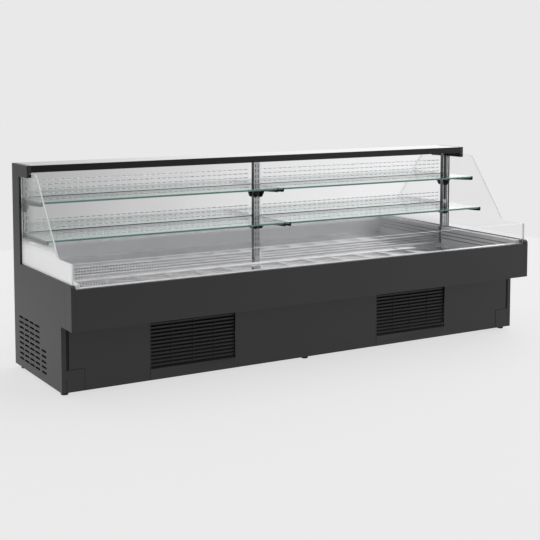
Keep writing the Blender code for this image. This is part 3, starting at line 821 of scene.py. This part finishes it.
channelInsert(insertValues)
print("stainless interior made")


# Header
headerValues = {"bend": 0.0008, "lampRound": 0.003}


def header(values):
    bm = cadCopy("header_housing")
    softenEdges(bm, values["bend"])
    makePiece("header_shell", bm, [glossBlack], "case", ["header_housing"])
    lamp = cadCopy("header_lamp")
    softenEdges(lamp, values["lampRound"], 3)
    makePiece("lamp_diffuser", lamp, [opal], "case", ["header_lamp"])


header(headerValues)


# Glass
glassValues = {"arris": 0.0008}


def pane(node, axis, materials, body="case"):
    bm = cadCopy(node)
    softenEdges(bm, glassValues["arris"], 1)
    edgeFaces(bm, axis, 1)
    if len(materials) > 2:  # the third, a shaded copy of the teal edge, is painted shade for the edge at the back
        for face in bm.faces:
            if face.normal.y > 0.6:
                face.material_index = 2
    makePiece(node + "_pane", bm, materials, body, [node])


pane("left_end_glass", 0, [paintedVeilPane, whiteEdge])
pane("right_end_glass", 0, [endPane, whiteEdge])
pane("front_glass", 1, [endPane, whiteEdge])
for shelfLevel in ("upper", "lower"):
    for shelfSide in ("left", "right"):
        shelfName = f"{shelfLevel}_shelf_{shelfSide}"
        pane(shelfName, 2, [shelfPane, tealEdge, paintedShadeEdge], shelfName)
    for bracketSide in ("left", "mid", "right"):
        plainPanel(f"{shelfLevel}_bracket_{bracketSide}", bracketAbs, 0.001)
print("glass and shelves made")


# Feet
footValues = {
    "steps": 32,
    "outline": (  # radius and height, from the middle of the base up to the middle of the top
        (0.0, 0.0), (0.0178, 0.0), (0.019, 0.0012), (0.019, 0.0075),
        (0.0172, 0.0095), (0.0105, 0.0118), (0.0, 0.0118),
    ),
    "turned": ((6, 0.0118, 0.0074, 0.0155), (20, 0.0049, 0.040, 0.031)),  # sides, radius, length, mid height
}


def levellingFoot(node, values):
    low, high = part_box(node)
    centre = Vector(((low.x + high.x) / 2, (low.y + high.y) / 2, low.z))
    bm = bmesh.new()
    verts = [bm.verts.new((r, 0, z)) for r, z in values["outline"]]
    edges = [bm.edges.new(pair) for pair in zip(verts, verts[1:])]
    bmesh.ops.spin(
        bm, geom=verts + edges, cent=(0, 0, 0), axis=(0, 0, 1), angle=2 * math.pi,
        steps=values["steps"], use_merge=True
    )
    bmesh.ops.remove_doubles(bm, verts=bm.verts, dist=0.00001)
    for sides, radius, length, height in values["turned"]:  # the nut and the threaded stem
        bmesh.ops.create_cone(
            bm, cap_ends=True, segments=sides, radius1=radius, radius2=radius, depth=length,
            matrix=Matrix.Translation((0, 0, height))
        )
    bmesh.ops.transform(bm, matrix=Matrix.Translation(centre), verts=bm.verts)
    bmesh.ops.recalc_face_normals(bm, faces=bm.faces)
    makePiece(node + "_turned", bm, [footRubber], node, [node])


for footRow in ("front", "rear"):
    for footSide in ("left", "mid", "right"):
        levellingFoot(f"foot_{footRow}_{footSide}", footValues)


# Machinery inside, carried over from the frame
carried = {
    "base_front_rail": zincSheet, "base_rear_rail": zincSheet, "base_left_crossbar": zincSheet,
    "base_right_crossbar": zincSheet, "machine_tray": zincSheet, "evaporator_fan_plate": zincSheet,
    "condenser_shroud": zincSheet, "control_box": zincSheet, "drain_pan": satinSteel,
    "evaporator_coil": finMetal, "condenser_coil": finMetal, "compressor": compressorCoat,
    "evaporator_fan_1": grilleAbs, "evaporator_fan_2": grilleAbs, "evaporator_fan_3": grilleAbs,
    "condenser_fan": grilleAbs,
}
for nodeName, finish in carried.items():
    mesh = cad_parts[nodeName].data
    mesh.materials.clear()
    mesh.materials.append(finish)
print("feet and machinery made")


# Floor
def makeFloor(values):
    bm = bmesh.new()
    bmesh.ops.create_grid(bm, x_segments=1, y_segments=1, size=values["floorSize"] / 2)
    mesh = bpy.data.meshes.new("studio_floor")
    bm.to_mesh(mesh)
    bm.free()
    floor = bpy.data.objects.new("studio_floor", mesh)
    bpy.context.scene.collection.objects.link(floor)
    material, _, shader = newMaterial("matt_studio_paper", values["floor"], 0.9)
    shader.inputs["Emission Color"].default_value = hexColour("#ffffff")
    shader.inputs["Emission Strength"].default_value = values["floorGlow"]
    mesh.materials.append(material)


makeFloor(lightValues)
